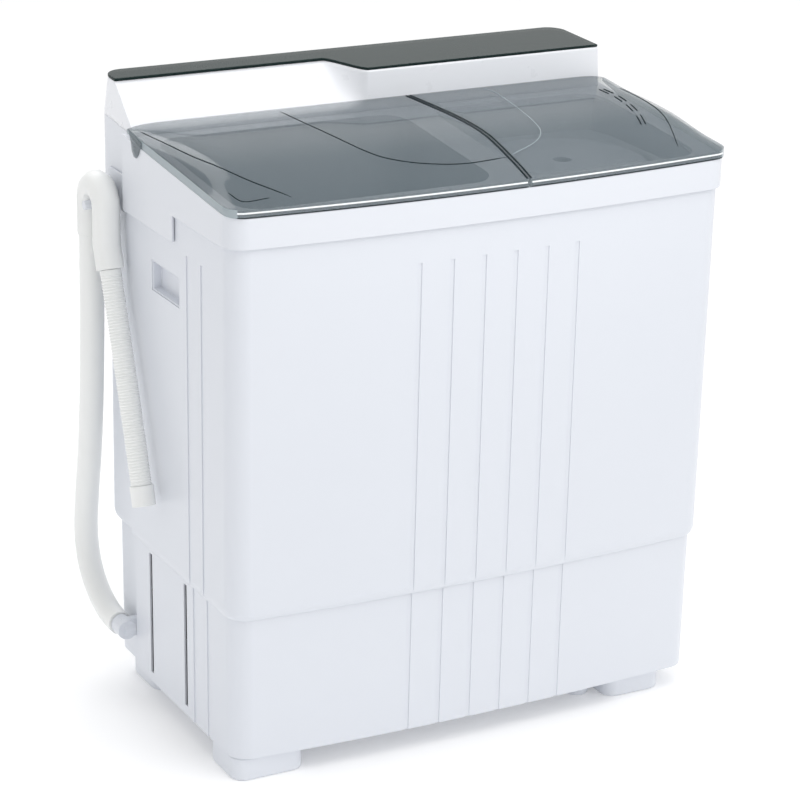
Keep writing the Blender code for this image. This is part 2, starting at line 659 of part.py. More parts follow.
def make_spin_parts():
    cx, cy = SPIN_AT
    low = SPIN_FLOOR_Z + 0.022
    high = PAN_Z - 0.030
    wall = 0.0022
    basket = turned("spin_basket", [(0, low + wall), (BASKET_R - 0.010, low + wall),
                                    (BASKET_R - wall, low + 0.010), (BASKET_R - wall, high - 0.012),
                                    (BASKET_R - 0.012, high - 0.010), (BASKET_R - 0.012, high),
                                    (BASKET_R, high), (BASKET_R, low + 0.008), (BASKET_R - 0.008, low),
                                    (0, low)], SPIN_AT, 32)
    put(basket, "inner")
    put(turned("spin_coupling", [(0, low - GAP), (0.022, low - GAP), (0.022, low - 0.004),
                                 (0.012, low - 0.012),
                                 (0.0068, low - 0.012), (0.0068, low - 0.002),
                                 (0, low - 0.002)], SPIN_AT, 18),
        "grey")
    put(hang(rod("spin_shaft", (cx, cy, 0.1653), (cx, cy, low - 0.0023), 0.0060, 16), (cx, cy, 0)), "steel")
    put(turned("spin_shaft_seal", [(0.0075, SPIN_FLOOR_Z + 0.006), (0.012, SPIN_FLOOR_Z + 0.006),
                                   (0.0160, SPIN_FLOOR_Z - 0.0008), (0.0160, SPIN_FLOOR_Z - 0.004),
                                   (0.0200, SPIN_FLOOR_Z - 0.004), (0.0200, SPIN_FLOOR_Z - 0.008),
                                   (0.0130, SPIN_FLOOR_Z - 0.014), (0.0075, SPIN_FLOOR_Z - 0.014)],
               SPIN_AT, 18), "black")
    put(turned("brake_drum", [(0.0063, 0.202), (0.018, 0.202), (0.018, 0.196), (0.040, 0.194),
                              (0.040, 0.176),
                              (0.036, 0.176), (0.036, 0.188), (0.0063, 0.188)], SPIN_AT, 20), "iron")
    put(turned("spin_motor", [(0, 0.165), (0.018, 0.165), (0.020, 0.158), (0.050, 0.154), (0.056, 0.146),
                              (0.056, 0.090), (0.050, 0.082), (0.020, 0.078), (0.018, 0.0693), (0, 0.0693)],
               SPIN_AT, 20), "iron")
    put(turned("spin_motor_plate", [(0.0120, 0.0690), (0.078, 0.0690), (0.078, 0.0660), (0.0120, 0.0660)],
               SPIN_AT, 20), "iron")
    for i in range(3):
        a = math.radians(90 + 120 * i)
        at = (cx + 0.064 * math.cos(a), cy + 0.064 * math.sin(a))
        foot = FOOT_Z + WALL + GAP
        put(turned(f"spin_motor_mount_{i + 1}", [(0, 0.0657), (0.009, 0.0657), (0.011, 0.058),
                                                 (0.008, 0.052),
                                                (0.011, 0.046), (0.008, 0.040), (0.012, foot),
                                                (0, foot)], at, 14),
            "black")


def make_brake():
    """The lever whose shoe is pulled against the drum when the spin lid is lifted."""
    px, py = BRAKE_PIVOT
    lever = prism("brake_lever", rounded(px - 0.064, py - 0.006, px + 0.008, py + 0.006, 0.0055, 3),
                  0.180, 0.1845)
    cut(lever, rod("lever_bore", (px, py, 0.17), (px, py, 0.20), 0.0036, 12))
    join(lever, box("brake_shoe", (px - 0.064, py - 0.0205, 0.1785),
                    (px - 0.050, py + 0.004, 0.1905), 0.001))
    put(hang(lever, (px, py, BRAKE_Z)), "iron")
    post = rod("brake_post", (px, py, FOOT_Z + WALL + GAP), (px, py, 0.1795), 0.0060, 12)
    join(post, rod("post_pin", (px, py, 0.178), (px, py, 0.190), 0.0032, 12))
    put(post, "steel")


def make_inner_cover():
    cx, cy = SPIN_AT
    z = PAN_Z + 0.0030
    cover = turned("spin_inner_cover", [(0.0110, z - 0.0060), (0.0110, z), (0.050, z + 0.001),
                                        (0.0985, z - 0.0005),
                                        (0.1010, z - 0.0045), (0.0990, z - 0.0062), (0.0960, z - 0.0032),
                                        (0.0145, z - 0.0020), (0.0145, z - 0.0060)], SPIN_AT, 30)
    put(cover, "white")


# ---- drain --------------------------------------------------------------------------------
def make_drain():
    vx, vy = VALVE_AT
    body_top = WASH_FLOOR_Z - WALL - GAP
    put(turned("drain_valve_body", [(0.0100, body_top), (0.019, body_top), (0.019, 0.200), (0.0100, 0.200)],
               VALVE_AT, 18), "grey")
    put(turned("drain_valve_plunger", [(0, body_top - 0.008), (0.0088, body_top - 0.008),
                                       (0.0088, body_top - 0.016),
                                       (0.004, body_top - 0.020), (0.004, 0.150), (0.0075, 0.146),
                                       (0.0075, 0.140),
                                       (0, 0.140)], VALVE_AT, 14), "black")
    spigot = rod("drain_outlet", (-0.285, OUTLET_Y, OUTLET_Z), (HOSE_START_X - 0.004, OUTLET_Y,
                                                                OUTLET_Z), 0.0122, 14)
    join(spigot, rod("outlet_nose", (HOSE_START_X, OUTLET_Y - 0.010, OUTLET_Z),
                     (HOSE_START_X, OUTLET_Y + 0.0130, OUTLET_Z), 0.0120, 14))
    put(spigot, "white")


def tube_curve(name, points, radius, resolution=2):
    curve = bpy.data.curves.new(name, "CURVE")
    curve.dimensions = "3D"
    curve.bevel_depth = radius
    curve.bevel_resolution = resolution
    curve.use_fill_caps = True
    spline = curve.splines.new("POLY")
    spline.points.add(len(points) - 1)
    for point, co in zip(spline.points, points):
        point.co = (*co, 1)
    return curve


def smooth_route(route, count):
    """Points on a smooth curve through a route's own points, evenly spread."""
    knots = [Vector(p) for p in route]
    knots = [2 * knots[0] - knots[1]] + knots + [2 * knots[-1] - knots[-2]]
    fine = []
    for a, b, c, d in zip(knots, knots[1:], knots[2:], knots[3:]):
        for i in range(12):
            t = i / 12
            fine.append(0.5 * ((2 * b) + (c - a) * t + (2 * a - 5 * b + 4 * c - d) * t * t
                               + (3 * b - a - 3 * c + d) * t ** 3))
    fine.append(knots[-2])
    lengths = [0.0]
    for a, b in zip(fine, fine[1:]):
        lengths.append(lengths[-1] + (b - a).length)
    out = []
    j = 0
    for i in range(count):
        want = lengths[-1] * i / (count - 1)
        while j < len(lengths) - 2 and lengths[j + 1] < want:
            j += 1
        share = (want - lengths[j]) / (lengths[j + 1] - lengths[j])
        out.append(fine[j].lerp(fine[j + 1], share))
    return out


# ---- drain hose ---------------------------------------------------------------------------
def make_hose():
    radius = (LEG_BACK_Y - LEG_FRONT_Y) / 2
    mid = (LEG_BACK_Y + LEG_FRONT_Y) / 2
    bend = [(HOSE_X, mid + radius * math.cos(math.radians(a)),
             ELBOW_TOP_Z + radius * math.sin(math.radians(a)))
            for a in range(0, 181, 20)]
    knee = (HOSE_X, LEG_FRONT_Y, ELBOW_Z)
    mouth = (HOSE_X, LEG_FRONT_Y - 0.030 * math.sin(LEAN), ELBOW_Z - 0.030 * math.cos(LEAN))
    line = [(HOSE_X, LEG_BACK_Y, ELBOW_Z)] + bend + [knee, mouth]
    put(solid_of_curve("hose_elbow", tube_curve("hose_elbow", line, ELBOW_R, 3)), "hose")
    lower = smooth_route(LOWER_ROUTE, 36)
    put(solid_of_curve("drain_hose_lower", tube_curve("drain_hose_lower", lower, HOSE_R)), "hose")
    upper = smooth_route(UPPER_ROUTE, 20)
    put(solid_of_curve("drain_hose_upper", tube_curve("drain_hose_upper", upper, UPPER_R)), "hose")
    end = Vector(UPPER_ROUTE[-1])
    way = (end - Vector(UPPER_ROUTE[-2])).normalized()
    cuff = rod("hose_cuff", end + way * GAP, end + way * 0.024, 0.0138, 16)
    cut(cuff, rod("cuff_bore", end + way * 0.004, end + way * 0.04, 0.0115, 16))
    put(cuff, "hose")


def make_hook():
    """The moulded bracket on the rear section's side that carries the hose elbow."""
    wall = -(HALF - JOG + OVERHANG)
    y = (LEG_BACK_Y + LEG_FRONT_Y) / 2
    plate = box("hose_hook", (wall - 0.0030, y - 0.021, 0.5940), (wall - GAP, y + 0.019, 0.6380), 0.001)
    join(plate, rod("hook_peg", (wall - 0.001, y, ELBOW_TOP_Z),
                    (HOSE_X - 0.0180, y, ELBOW_TOP_Z), PEG_R, 14))
    put(plate, "white")


# ---- console ------------------------------------------------------------------------------
def console_front(x):
    """Where the console's front face ends at the top: it steps forward in an S from left to right."""
    share = min(1.0, max(0.0, (x - SWEEP_X[0]) / (SWEEP_X[1] - SWEEP_X[0])))
    share = share * share * (3 - 2 * share)
    return LEFT_TOP_Y + (CONSOLE_Y - LEFT_TOP_Y) * share


def console_top(y):
    return CONSOLE_Z - CONSOLE_DROP * (BACK - y)


def console_xs(half):
    sweep = [SWEEP_X[0] + (SWEEP_X[1] - SWEEP_X[0]) * i / 8 for i in range(9)]
    return [-half, -0.2, -0.1] + sweep + [0.08, 0.19, half]


def console_ring(half, back, front, height, radius):
    """A loop: the front from left to right, then round the back's rounded corners."""
    loop = [(x, front(x)) for x in console_xs(half)]
    loop += arc(half - radius, back - radius, radius, 0, 90, 5)
    loop += arc(-half + radius, back - radius, radius, 90, 180, 5)
    return [(x, y, height(y)) for x, y in loop]


def make_console():
    base_half = HALF - JOG + OVERHANG
    top_half = base_half - 0.003
    foot = console_ring(base_half, BACK, lambda x: CONSOLE_Y, lambda y: ledge(y) + GAP, 0.0185)
    lower = [(x, y, z + 0.0045) for x, y, z in foot]
    rim = COVER_T + GAP
    upper = console_ring(top_half, BACK - 0.001, console_front, lambda y: console_top(y) - rim, 0.022)
    housing = thicken(loft("console_housing", [foot, lower, upper]), WALL)
    put(housing, "white")

    cover_ring = console_ring(top_half, BACK - 0.001, console_front, console_top, 0.022)
    under = [(x, y, z - COVER_T) for x, y, z in cover_ring]
    cover = loft("control_cover", [under, cover_ring], cap_first=True, cap_last=True)
    put(hang(cover, COVER_HINGE), "smoke")

    deck_ring = rounded(SWEEP_X[1] + 0.010, CONSOLE_Y + 0.0036, top_half - 0.0036, BACK - 0.0050, 0.0195)
    deck = prism("control_deck", deck_ring, DECK_Z - 0.0025, DECK_Z)
    for i, (x, y) in enumerate(KNOBS.values()):
        cut(deck, rod(f"knob_hole_{i}", (x, y, DECK_Z - 0.01), (x, y, DECK_Z + 0.01), 0.0042, 12))
    put(deck, "white")

    for name, (x, y) in KNOBS.items():
        knob = turned(name, [(0, DECK_Z + 0.0135), (0.0150, DECK_Z + 0.0135), (0.0172, DECK_Z + 0.0115),
                             (0.0185, DECK_Z + 0.0005), (0.0038, DECK_Z + 0.0005), (0.0038, DECK_Z - 0.0040),
                             (0, DECK_Z - 0.0040)], (x, y), 24)
        put(knob, "grey")
    bodies = {"wash_timer": ("wash_timer_knob", 0.022), "drain_selector": ("drain_selector_knob", 0.016),
              "spin_timer": ("spin_timer_knob", 0.022)}
    for name, (knob, half) in bodies.items():
        x, y = KNOBS[knob]
        low = ledge(y + half) + 0.0008
        case = box(name, (x - half, y - half, low), (x + half, y + half, DECK_Z - 0.0048), 0.001)
        put(case, "grey" if name != "drain_selector" else "black")


# ---- lids ---------------------------------------------------------------------------------
def lid_height(middle, from_side):
    """Height of a lid above the frame: its height at mid-width, faded down to the skirt's at the side."""
    near = 1 - min(1.0, from_side / SHOULDER)
    return LIP_Z + (middle - LIP_Z) * (1 - near ** 4)


def make_lid(name, x_split, x_side):
    """A convex lid with a front lip and one side skirt, between the split line and its own side."""
    side = 1 if x_side > x_split else -1
    edge = HALF + OVERHANG
    radius = 0.020
    back = CONSOLE_Y - CLOSED_LID_GAP
    centre_y = front_y(edge - radius) - OVERHANG + radius
    stations = []
    for i in range(10):
        x = x_split + (side * (edge - radius) - x_split) * (1 - (1 - i / 9) ** 1.5)
        stations.append((x, front_y(x) - OVERHANG))
    for i in range(1, 6):
        angle = math.radians(90 * i / 5)
        stations.append((side * (edge - radius + radius * math.sin(angle)),
                         centre_y - radius * math.cos(angle)))

    rest = GAP + 0.0002
    rows = []
    for share, middle in CROWN:
        row = []
        for x, y_front in stations:
            y = back + (y_front - back) * share
            row.append((x, y, ledge(y) + lid_height(middle, edge - abs(x))))
        y = row[-1][1]
        row.append((side * edge, y, skirt_z(y, rest)))
        rows.append(row)
    lip = [(x, y, ledge(y) + rest) for x, y in stations]
    lip.append(lip[-1])
    rows.append(lip)
    if side > 0:
        rows = [list(reversed(row)) for row in rows]
    lid = loft(name, rows, ring_closed=False)
    bm = bmesh.new()
    bm.from_mesh(lid.data)
    bmesh.ops.remove_doubles(bm, verts=bm.verts, dist=0.00005)
    bm.to_mesh(lid.data)
    bm.free()
    thicken(lid, LID_T)
    put(hang(lid, (0, HINGE_Y, HINGE_Z)), "smoke")


def skirt_z(y, rest):
    """Lower edge of a lid's side skirt, raised behind the hinge line so that it can swing past the frame."""
    return HINGE_Z - 0.0056 if y > HINGE_Y else ledge(y) + rest


def make_lids():
    make_lid("wash_lid", SPLIT_X - 0.0008, -1)
    make_lid("spin_lid", SPLIT_X + 0.0008, 1)


def build():
    start()
    make_cabinet()
    make_grips()
    make_base()
    make_feet()
    make_back_cover()
    make_top_frame()
    make_wash_tub()
    make_pulsator()
    make_wash_drive()
    make_filter()
    make_spin_tub()
    make_spin_parts()
    make_brake()
    make_inner_cover()
    make_drain()
    make_hose()
    make_hook()
    make_console()
    make_lids()


build()
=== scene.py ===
"""How the twin tub washer looks: finished surfaces, procedural materials, floor, lights and camera."""
import json
import math

import bmesh
import bpy
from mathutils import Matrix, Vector


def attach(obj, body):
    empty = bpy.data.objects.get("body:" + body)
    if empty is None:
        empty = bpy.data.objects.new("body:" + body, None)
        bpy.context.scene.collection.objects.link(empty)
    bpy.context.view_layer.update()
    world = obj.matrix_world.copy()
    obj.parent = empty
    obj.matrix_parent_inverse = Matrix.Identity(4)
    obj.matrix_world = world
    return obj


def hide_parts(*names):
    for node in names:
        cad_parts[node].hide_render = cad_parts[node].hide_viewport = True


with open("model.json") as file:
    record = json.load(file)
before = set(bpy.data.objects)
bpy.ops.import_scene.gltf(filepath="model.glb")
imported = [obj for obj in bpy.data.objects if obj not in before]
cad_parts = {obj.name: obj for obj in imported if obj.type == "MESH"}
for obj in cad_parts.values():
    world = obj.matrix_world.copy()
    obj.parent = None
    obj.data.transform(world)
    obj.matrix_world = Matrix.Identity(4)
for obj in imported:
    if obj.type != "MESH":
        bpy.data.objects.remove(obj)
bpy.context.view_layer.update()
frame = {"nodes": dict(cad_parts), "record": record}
NODES = frame["nodes"]
BODY_OF = {node: body for body, names in frame["record"]["behaviour"]["bodies"].items() for node in names}
SLOT_OF = {entry["node"]: entry["material_slot"] for entry in frame["record"]["subparts"]}


# ---- camera -------------------------------------------------------------------------------
def make_camera():
    back = Vector((-0.447013, -0.827127, 0.340646)).normalized()
    right = (-back).cross(Vector((0, 0, 1))).normalized()
    up = right.cross(-back)
    roll = math.radians(1.2292)
    right2 = math.cos(roll) * right + math.sin(roll) * up
    up2 = -math.sin(roll) * right + math.cos(roll) * up
    data = bpy.data.cameras.new("camera")
    data.lens = 127.97
    data.sensor_width = 36.0
    data.clip_end = 60.0
    camera = bpy.data.objects.new("camera", data)
    bpy.context.scene.collection.objects.link(camera)
    place = camera.matrix_world.copy()
    for row in range(3):
        place[row][0] = right2[row]
        place[row][1] = up2[row]
        place[row][2] = back[row]
    place[0][3], place[1][3], place[2][3] = (-1.50783, -2.77214, 1.50206)
    camera.matrix_world = place
    bpy.context.scene.camera = camera


make_camera()


# ---- materials ----------------------------------------------------------------------------
def shader_of(mat):
    return mat.node_tree.nodes["Principled BSDF"]


def noise(mat, scale, detail=3.0, roughness=0.5, stretch=(1, 1, 1)):
    """Noise in the object's own coordinates, which are metres here."""
    nodes, links = mat.node_tree.nodes, mat.node_tree.links
    place = nodes.new("ShaderNodeTexCoord")
    mapping = nodes.new("ShaderNodeMapping")
    mapping.inputs["Scale"].default_value = stretch
    texture = nodes.new("ShaderNodeTexNoise")
    texture.inputs["Scale"].default_value = scale
    texture.inputs["Detail"].default_value = detail
    texture.inputs["Roughness"].default_value = roughness
    links.new(place.outputs["Object"], mapping.inputs["Vector"])
    links.new(mapping.outputs["Vector"], texture.inputs["Vector"])
    return texture.outputs["Fac"]


def spread(mat, value, low, high):
    """Map a noise value onto a range of numbers."""
    node = mat.node_tree.nodes.new("ShaderNodeMapRange")
    node.inputs["From Min"].default_value = 0.3
    node.inputs["From Max"].default_value = 0.7
    node.inputs["To Min"].default_value = low
    node.inputs["To Max"].default_value = high
    mat.node_tree.links.new(value, node.inputs["Value"])
    return node.outputs["Result"]


def tint(mat, value, first, second):
    """Blend two colours by a value."""
    ramp = mat.node_tree.nodes.new("ShaderNodeValToRGB")
    ramp.color_ramp.elements[0].position = 0.35
    ramp.color_ramp.elements[1].position = 0.65
    ramp.color_ramp.elements[0].color = (*first, 1)
    ramp.color_ramp.elements[1].color = (*second, 1)
    mat.node_tree.links.new(value, ramp.inputs["Fac"])
    return ramp.outputs["Color"]


def surface(name, first, second, rough, grain, blotch=6.0, metallic=0.0, alpha=1.0, specular=0.5,
            subsurface=0.0, stretch=(1, 1, 1)):
    """A moulded or machined surface: two close colours in soft blotches, uneven gloss and a fine grain.

    rough is the range of roughness, and grain is the bump's noise scale and strength.
    """
    mat = bpy.data.materials.new(name)
    mat.use_nodes = True
    shader = shader_of(mat)
    links = mat.node_tree.links
    links.new(tint(mat, noise(mat, blotch, 4.0), first, second), shader.inputs["Base Color"])
    links.new(spread(mat, noise(mat, 35.0, 4.0, 0.6, stretch), *rough), shader.inputs["Roughness"])
    bump = mat.node_tree.nodes.new("ShaderNodeBump")
    bump.inputs["Strength"].default_value = grain[1]
    bump.inputs["Distance"].default_value = 0.001
    links.new(noise(mat, grain[0], 2.0, 0.5, stretch), bump.inputs["Height"])
    links.new(bump.outputs["Normal"], shader.inputs["Normal"])
    shader.inputs["Metallic"].default_value = metallic
    shader.inputs["IOR"].default_value = 1.5
    shader.inputs["Alpha"].default_value = alpha
    shader.inputs["Specular IOR Level"].default_value = specular
    shader.inputs["Subsurface Weight"].default_value = subsurface
    shader.inputs["Subsurface Radius"].default_value = (0.012, 0.012, 0.012)
    return mat


FINE = (180.0, 0.004)
WHITE = surface("white_abs_plastic", (0.715, 0.742, 0.795), (0.723, 0.749, 0.801), (0.29, 0.31), FINE, 3.0)
# TOP_FRAME_PAINTED_LIGHT is a copy of the white plastic, slightly brighter and glossier, toned to the light on
# the top frame: painted light.
TOP_FRAME_PAINTED_LIGHT = surface("white_top_frame_painted_light", (0.725, 0.75, 0.80), (0.733, 0.757, 0.806), (0.25, 0.27), FINE, 3.0)
# CONSOLE_PAINTED_LIGHT is a brighter copy of the white plastic for the console: painted light on its faces.
CONSOLE_PAINTED_LIGHT = surface("white_console_painted_light", (0.85, 0.865, 0.90), (0.856, 0.871, 0.905), (0.27, 0.29),
                        FINE, 3.0)
TUB = surface("tub_polypropylene", (0.62, 0.65, 0.69), (0.68, 0.71, 0.745), (0.30, 0.42), (420.0, 0.05))
SMOKE = surface("smoked_lid", (0.112, 0.150, 0.172), (0.120, 0.158, 0.180), (0.05, 0.07), (300.0, 0.002),
                alpha=0.42, specular=0.28)
# EDGE_PAINTED_LIGHT is a lighter copy of the smoked lid for the side skirts and corners: painted light on the
# lid's rim.
EDGE_PAINTED_LIGHT = surface("smoked_lid_edge_painted_light", (0.42, 0.49, 0.52), (0.45, 0.52, 0.55), (0.06, 0.10), (300.0, 0.006),
               alpha=0.60)
# LIP_PAINTED_LIGHT is a lighter, glossier copy of the smoked lid for the front lip: painted light on the lip
# band.
LIP_PAINTED_LIGHT = surface("smoked_lip_painted_light", (0.16, 0.20, 0.22), (0.18, 0.22, 0.24), (0.06, 0.10), (300.0, 0.004),
                    alpha=0.55, specular=0.35)
# GLINT is a painted highlight: a near-white line laid along the lids' front lips.
GLINT = surface("painted_lip_highlight", (0.88, 0.90, 0.92), (0.90, 0.92, 0.94), (0.10, 0.16), (300.0, 0.01))
# SHADE_LINE is near-black painted shade: it darkens the lids' embossed grooves and mark, the vent slots, the
# split and the foot of the lips.
SHADE_LINE = surface("painted_shade_line", (0.006, 0.012, 0.016), (0.009, 0.016, 0.020), (0.45, 0.55), (500.0, 0.01),
               specular=0.12)
COVER = surface("tinted_cover", (0.010, 0.024, 0.023), (0.013, 0.028, 0.027), (0.09, 0.13), (300.0, 0.004),
                alpha=0.86, specular=0.10)
GREY = surface("satin_grey_plastic", (0.36, 0.39, 0.41), (0.41, 0.44, 0.46), (0.35, 0.5), (800.0, 0.06))
DARK = surface("dark_plastic", (0.020, 0.022, 0.024), (0.03, 0.032, 0.035), (0.4, 0.55), (800.0, 0.06))
RUBBER = surface("black_rubber", (0.012, 0.012, 0.012), (0.024, 0.024, 0.024), (0.6, 0.8), (500.0, 0.12))
STEEL = surface("turned_steel", (0.52, 0.52, 0.53), (0.62, 0.62, 0.63), (0.22, 0.36), (900.0, 0.05),
                40.0, 1.0, stretch=(1, 1, 12))
IRON = surface("painted_iron", (0.055, 0.060, 0.068), (0.085, 0.090, 0.10), (0.38, 0.6), (350.0, 0.12), 25.0)
HOSE = surface("pale_hose", (0.86, 0.87, 0.86), (0.88, 0.89, 0.88), (0.34, 0.42), (300.0, 0.02),
               subsurface=0.25)
BY_SLOT = {
    "white_abs": WHITE, "tub_plastic": TUB, "smoked_plastic": SMOKE, "grey_plastic": GREY,
    "black_plastic": DARK, "black_rubber": RUBBER, "steel": STEEL, "iron": IRON, "hose_plastic": HOSE,
}
# The top frame wears its painted-light copy of the white plastic.
CUSTOM = {"top_frame": TOP_FRAME_PAINTED_LIGHT}


# ---- finished copies of the frame's nodes ---------------------------------------------------
def link(ob, node=None, body=None):
    """Put a piece in the scene, riding on a body."""
    if not ob.users_collection:
        bpy.context.scene.collection.objects.link(ob)
    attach(ob, body or BODY_OF[node])
    if node:
        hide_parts(node)
    return ob


def smooth(mesh, angle=36.0):
    mesh.shade_smooth()
    mesh.set_sharp_from_angle(angle=math.radians(angle))


def finish_node(node, bevel):
    """A copy of a node with its flats merged, its edges rounded and its curved walls shaded smooth."""
    mesh = NODES[node].data.copy()
    bm = bmesh.new()
    bm.from_mesh(mesh)
    bmesh.ops.remove_doubles(bm, verts=bm.verts, dist=0.00001)
    bmesh.ops.dissolve_limit(bm, angle_limit=math.radians(0.3), verts=bm.verts, edges=bm.edges)
    bm.to_mesh(mesh)
    bm.free()
    smooth(mesh)
    ob = bpy.data.objects.new(node + "_finished", mesh)
    mesh.materials.clear()
    mesh.materials.append(CUSTOM.get(node) or BY_SLOT[SLOT_OF[node]])
    edge = ob.modifiers.new("edge", "BEVEL")
    edge.width = bevel
    edge.segments = 2
    edge.limit_method = "ANGLE"
    edge.angle_limit = math.radians(40)
    normal = ob.modifiers.new("normal", "WEIGHTED_NORMAL")
    normal.keep_sharp = True
    return link(ob, node)


LIDS = ("wash_lid", "spin_lid")
CONSOLE = ("console_housing", "control_cover")
HOSES = ("drain_hose_lower", "drain_hose_upper")
EDGE_ROUND = 0.0005    # the width of a rounded edge where the list below gives no other
ROUND = {
    "cabinet_shell": 0.0014, "base_plinth": 0.0014, "top_frame": 0.0010, "back_cover": 0.0006,
    "hose_elbow": 0.0008, "drive_belt": 0.0004, "hose_hook": 0.0006,
    "foot_front_left": 0.0020, "foot_front_right": 0.0020, "foot_rear_left": 0.0020, "foot_rear_right": 0.0020,
}
for name in sorted(NODES):
    if name not in LIDS + HOSES + CONSOLE:
        finish_node(name, ROUND.get(name, EDGE_ROUND))


# ---- lids -----------------------------------------------------------------------------------
HALF = 0.3136          # half the lids' width
CORNER_Y = -0.1817     # their front edge at the corners
BOW = 0.0110
BOW_HALF = 0.290
LID_BACK = 0.0934
SPLIT_X = 0.042
CORNER_R = 0.020
LIP = 0.0100
SHOULDER = 0.060
LID_T = 0.0026
CROWN = [(0.00, 0.0144), (0.12, 0.0182), (0.24, 0.0218), (0.36, 0.0252), (0.48, 0.0276), (0.58, 0.0286),
         (0.67, 0.0278), (0.76, 0.0244), (0.85, 0.0198), (0.92, 0.0157), (0.97, 0.0122), (1.00, 0.0100)]


def ledge(y):
    return 0.6632 + 0.0863 * (y + 0.1927)


def front_y(x):
    return CORNER_Y - BOW * (1 - (x / BOW_HALF) ** 2)


def crown(share):
    """Height above the frame at mid-width, on a smooth curve through the crown's own points."""
    share = min(1.0, max(0.0, share))
    for i in range(len(CROWN) - 1):
        if share <= CROWN[i + 1][0]:
            break
    points = [CROWN[max(0, i - 1)], CROWN[i], CROWN[i + 1], CROWN[min(len(CROWN) - 1, i + 2)]]
    (xa, a), (xb, b), (xc, c), (xd, d) = points
    t = (share - xb) / (xc - xb)
    slope_b = (c - a) / max(1e-6, xc - xa) * (xc - xb)
    slope_c = (d - b) / max(1e-6, xd - xb) * (xc - xb)
    return ((2 * t ** 3 - 3 * t ** 2 + 1) * b + (t ** 3 - 2 * t ** 2 + t) * slope_b
            + (-2 * t ** 3 + 3 * t ** 2) * c + (t ** 3 - t ** 2) * slope_c)


def front_at(x):
    """The front edge's y at a place across the lids, corners included."""
    d = HALF - abs(x)
    inner = HALF - CORNER_R
    if d >= CORNER_R:
        return front_y(x)
    return front_y(inner) + CORNER_R - math.sqrt(max(0.0, CORNER_R ** 2 - (CORNER_R - d) ** 2))


def lid_z(x, y):
    share = (LID_BACK - y) / (LID_BACK - front_at(x))
    near = 1 - min(1.0, (HALF - abs(x)) / SHOULDER)
    return ledge(y) + LIP + (crown(share) - LIP) * (1 - near ** 4)


def skirt_z(y):
    return ledge(y) + 0.0005


RISE_FROM = 0.0578     # behind here the skirt's lower edge rises towards the hinge
RISE_TO = 0.0930
HINGE_FOOT = 0.6936    # the skirt's lower edge at the hinge
SKIRT_ROWS = (0.16, 0.5, 0.84, 1.0)


def skirt_foot(y):
    """Height of the skirt's lower edge."""
    if y > RISE_TO:
        return HINGE_FOOT
    if y > RISE_FROM:
        return skirt_z(RISE_FROM) + (HINGE_FOOT - skirt_z(RISE_FROM)) * (y - RISE_FROM) / (RISE_TO - RISE_FROM)
    return skirt_z(y)


def make_lid(node, x_split):
    side = 1 if node == "spin_lid" else -1
    inner = HALF - CORNER_R
    xs = [x_split + (side * inner - x_split) * (1 - (1 - i / 26) ** 1.4) for i in range(27)]
    xs += [side * (inner + CORNER_R * math.sin(math.radians(90 * i / 12))) for i in range(1, 13)]
    shares = [i / 34 * 0.85 for i in range(35)] + [0.85 + 0.15 * (i / 12) ** 0.8 for i in range(1, 13)]
    bm = bmesh.new()
    rows = []
    for share in shares:
        row = []
        for x in xs:
            y = LID_BACK + (front_at(x) - LID_BACK) * share
            row.append(bm.verts.new((x, y, lid_z(x, y))))
        rows.append(row)
    faces = []
    for a, b in zip(rows, rows[1:]):
        for i in range(len(xs) - 1):
            faces.append(bm.faces.new((a[i], a[i + 1], b[i + 1], b[i])))
    rim = [row[-1] for row in rows] + list(reversed(rows[-1][:-1]))
    lower = []
    for k in SKIRT_ROWS:
        ring = []
        for v in rim:
            ring.append(bm.verts.new((v.co.x, v.co.y, v.co.z + (skirt_foot(v.co.y) - v.co.z) * k)))
        lower.append(ring)
    previous = rim
    for ring in lower:
        for i in range(len(ring) - 1):
            face = bm.faces.new((previous[i], previous[i + 1], ring[i + 1], ring[i]))
            # Side skirts and corners take the lighter edge copy, and the front lip takes the lip copy: painted
            # light on the rim.
            face.material_index = 1 if i < len(rows) + 7 else 2
        previous = ring
    bmesh.ops.recalc_face_normals(bm, faces=bm.faces)
    top = faces[len(faces) // 2]
    if top.normal.z < 0:
        bmesh.ops.reverse_faces(bm, faces=bm.faces)
    mesh = bpy.data.meshes.new(node + "_finished")
    bm.to_mesh(mesh)
    bm.free()
    mesh.materials.append(SMOKE)
    mesh.materials.append(EDGE_PAINTED_LIGHT)
    mesh.materials.append(LIP_PAINTED_LIGHT)
    smooth(mesh, 60.0)
    ob = bpy.data.objects.new(node + "_finished", mesh)
    wall = ob.modifiers.new("wall", "SOLIDIFY")
    wall.thickness = LID_T
    wall.offset = -1.0
    wall.use_even_offset = True
    edge = ob.modifiers.new("edge", "BEVEL")
    edge.width = 0.0007
    edge.segments = 2
    edge.limit_method = "ANGLE"
    edge.angle_limit = math.radians(50)
    return link(ob, node)


def curve_through(knots, count):
    """Evenly spread points of a smooth curve through a few knots."""
    knots = [Vector(p) for p in knots]
    knots = [2 * knots[0] - knots[1]] + knots + [2 * knots[-1] - knots[-2]]
    fine = []
    for a, b, c, d in zip(knots, knots[1:], knots[2:], knots[3:]):
        for i in range(12):
            t = i / 12
            fine.append(0.5 * ((2 * b) + (c - a) * t + (2 * a - 5 * b + 4 * c - d) * t * t
                               + (3 * b - a - 3 * c + d) * t ** 3))
    fine.append(knots[-2])
    lengths = [0.0]
    for a, b in zip(fine, fine[1:]):
        lengths.append(lengths[-1] + (b - a).length)
    out = []
    j = 0
    for i in range(count):
        want = lengths[-1] * i / (count - 1)
        while j < len(lengths) - 2 and lengths[j + 1] < want:
            j += 1
        part = (want - lengths[j]) / (lengths[j + 1] - lengths[j])
        out.append(fine[j].lerp(fine[j + 1], part))
    return out


